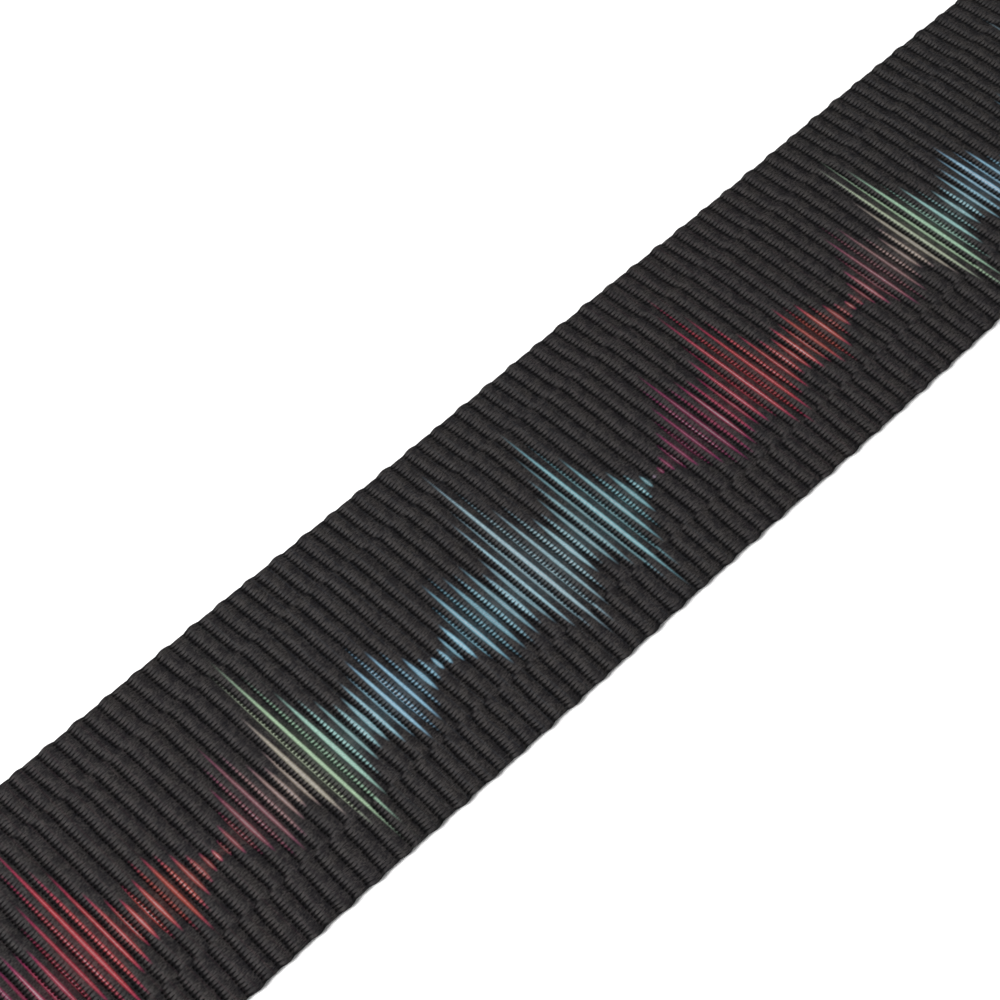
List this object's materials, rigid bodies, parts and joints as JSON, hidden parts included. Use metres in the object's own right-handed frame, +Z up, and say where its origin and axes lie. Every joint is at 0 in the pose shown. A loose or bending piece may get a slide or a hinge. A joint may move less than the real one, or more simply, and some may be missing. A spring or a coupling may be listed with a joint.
{
  "type": "guitar strap",
  "caption": "Printed webbing guitar strap with leather button-hole tabs, an adjusting slide and a ring, laid out in a flat U.",
  "frame": {"origin": "centre of the whole laid-out strap, on the surface it lies on", "axes": "+X along both long runs from the leather tabs to the folds, +Y from the front run to the rear run, +Z up off the surface"},
  "size_m": [0.6002, 0.251, 0.0075],
  "materials": {
    "printed_webbing": "matte ribbed polyester webbing, printed face",
    "loop_webbing": "matte ribbed polyester webbing",
    "tab_leather": "smooth grained leather, satin",
    "backing_leather": "suede split, matte",
    "slide_plastic": "moulded, satin",
    "ring_plastic": "moulded, satin",
    "thread": "waxed polyester thread"
  },
  "bodies": {
    "strap": {"webbing_front_run": "printed_webbing", "webbing_front_fold": "printed_webbing", "webbing_cross_run": "printed_webbing", "webbing_rear_fold": "printed_webbing", "webbing_rear_run": "printed_webbing", "webbing_adjust_run": "printed_webbing", "front_tab_face": "tab_leather", "front_tab_backing": "backing_leather", "front_tab_thread": "thread"},
    "adjuster": {"slide": "slide_plastic", "webbing_slide_pass": "printed_webbing", "webbing_sewn_end": "printed_webbing", "sewn_end_thread": "thread", "webbing_upper_ply": "printed_webbing", "webbing_lower_ply": "printed_webbing"},
    "ring_turn": {"webbing_ring_turn": "printed_webbing"},
    "ring": {"ring": "ring_plastic"},
    "rear_tab": {"rear_loop": "loop_webbing", "rear_tab_face": "tab_leather", "rear_tab_backing": "backing_leather", "rear_tab_thread": "thread"}
  },
  "joints": [
    {"name": "slide_travel", "type": "slide", "parent": "strap", "child": "adjuster", "axis": [-1, 0, 0], "range_m": [-0.06, 0.06], "deforming": ["webbing_adjust_run"]},
    {"name": "ring_travel", "type": "slide", "parent": "adjuster", "child": "ring_turn", "axis": [-1, 0, 0], "range_m": [-0.03, 0.03], "deforming": ["webbing_upper_ply", "webbing_lower_ply"]},
    {"name": "ring_swing", "type": "hinge", "parent": "ring_turn", "child": "ring", "pos_m": [-0.172, 0.0945, 0.0037], "axis": [0, 1, 0], "range_deg": [0, 90]},
    {"name": "rear_tab_swing", "type": "hinge", "parent": "ring", "child": "rear_tab", "pos_m": [-0.192, 0.0945, 0.0037], "axis": [0, 1, 0], "range_deg": [0, 85]}
  ],
  "couplings": [
    {"joint": "ring_travel", "follows": "slide_travel", "ratio": -0.5}
  ]
}
